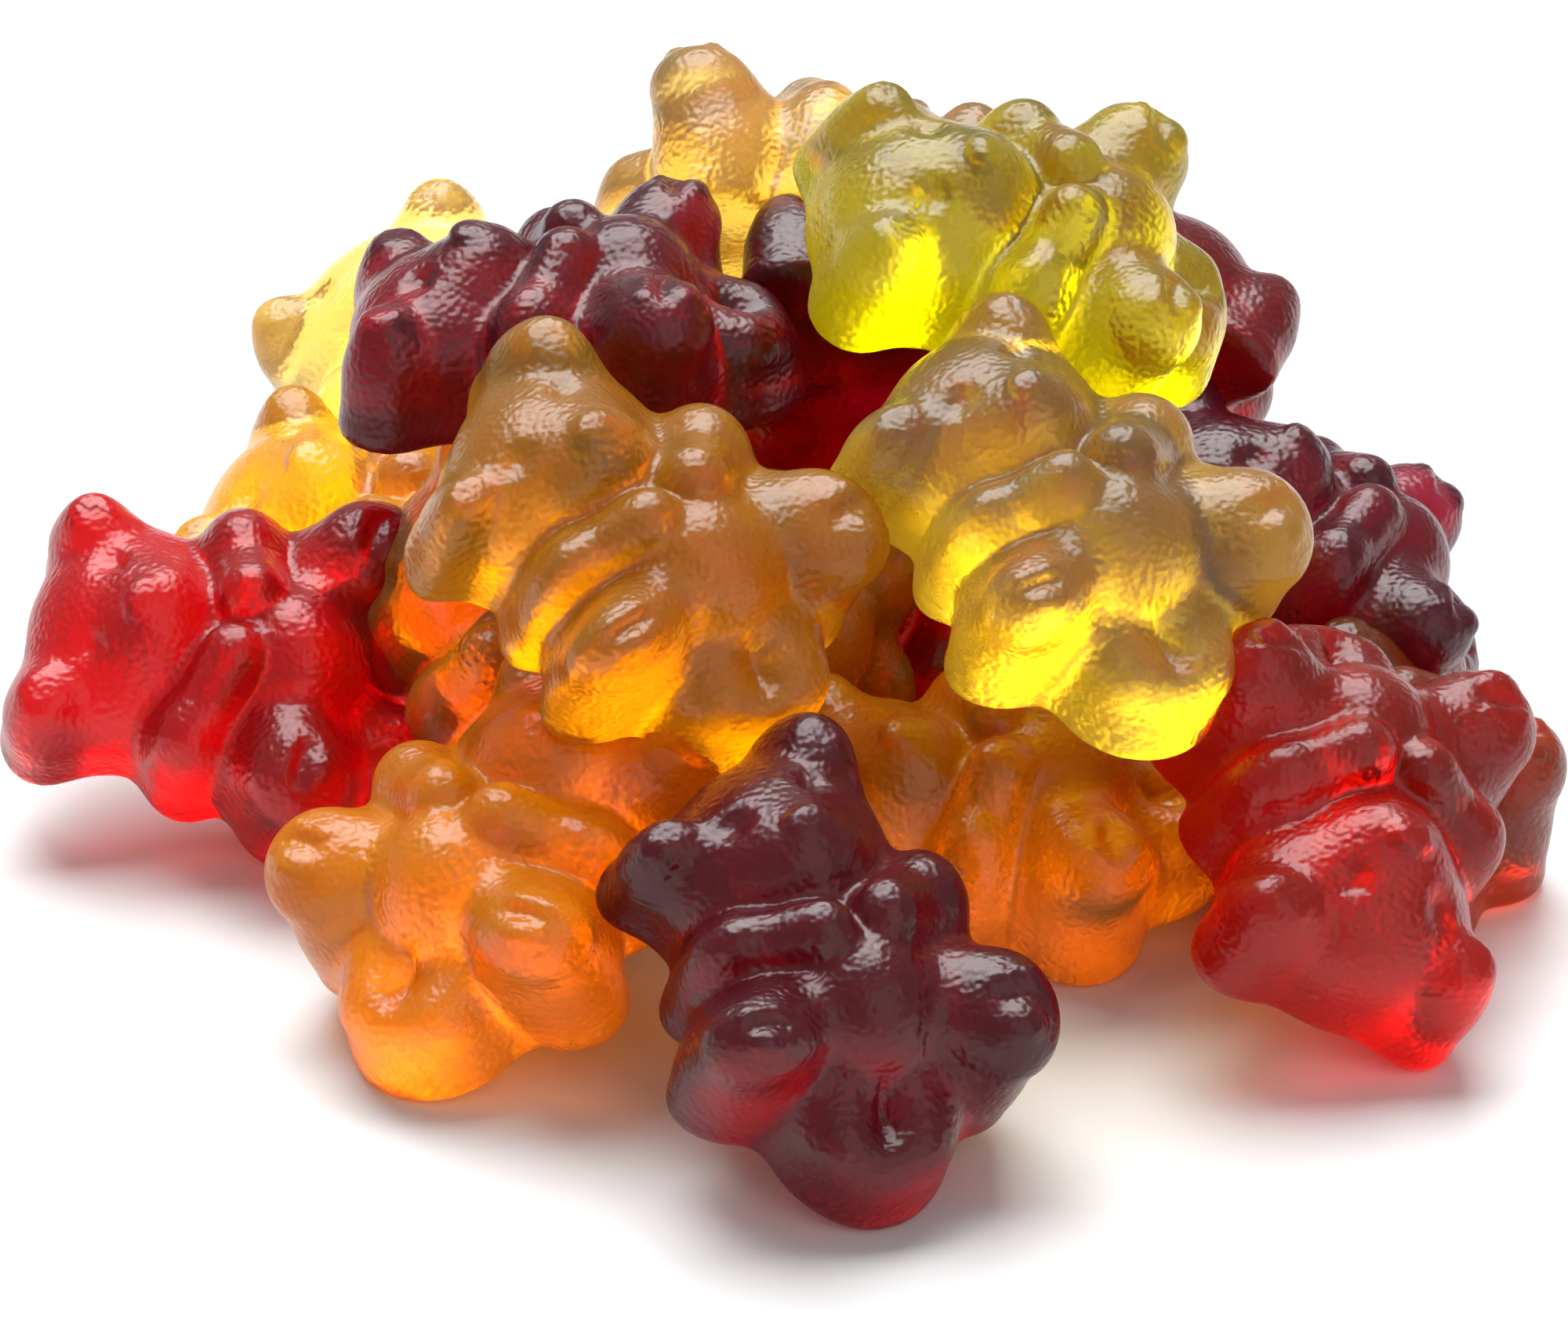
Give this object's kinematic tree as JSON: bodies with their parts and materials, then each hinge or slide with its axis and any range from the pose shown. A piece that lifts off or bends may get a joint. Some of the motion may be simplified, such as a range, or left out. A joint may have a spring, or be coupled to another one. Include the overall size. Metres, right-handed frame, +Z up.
{
  "type": "gummy bears",
  "caption": "Loose heap of moulded gummy bears in clear fruit-jelly colours, lying at all angles on each other, with one flat resting face.",
  "frame": {"origin": "middle of the heap's box, on the level face it rests on", "axes": "+Z up; the pictured side of the heap faces -Y; +X to the right"},
  "size_m": [0.075, 0.0756, 0.0342],
  "materials": {
    "jelly_wine": "translucent jelly with a soft, slightly pebbled sheen",
    "jelly_red": "translucent jelly with a soft, slightly pebbled sheen",
    "jelly_coral": "translucent jelly with a soft, slightly pebbled sheen",
    "jelly_orange": "translucent jelly with a soft, slightly pebbled sheen",
    "jelly_amber": "translucent jelly with a soft, slightly pebbled sheen",
    "jelly_lemon": "translucent jelly with a soft, slightly pebbled sheen",
    "jelly_lime": "translucent jelly with a soft, slightly pebbled sheen",
    "jelly_peach": "translucent jelly with a soft, slightly pebbled sheen"
  },
  "bodies": {
    "root": {"gummy_bear_heap": "jelly_orange"}
  },
  "joints": []
}
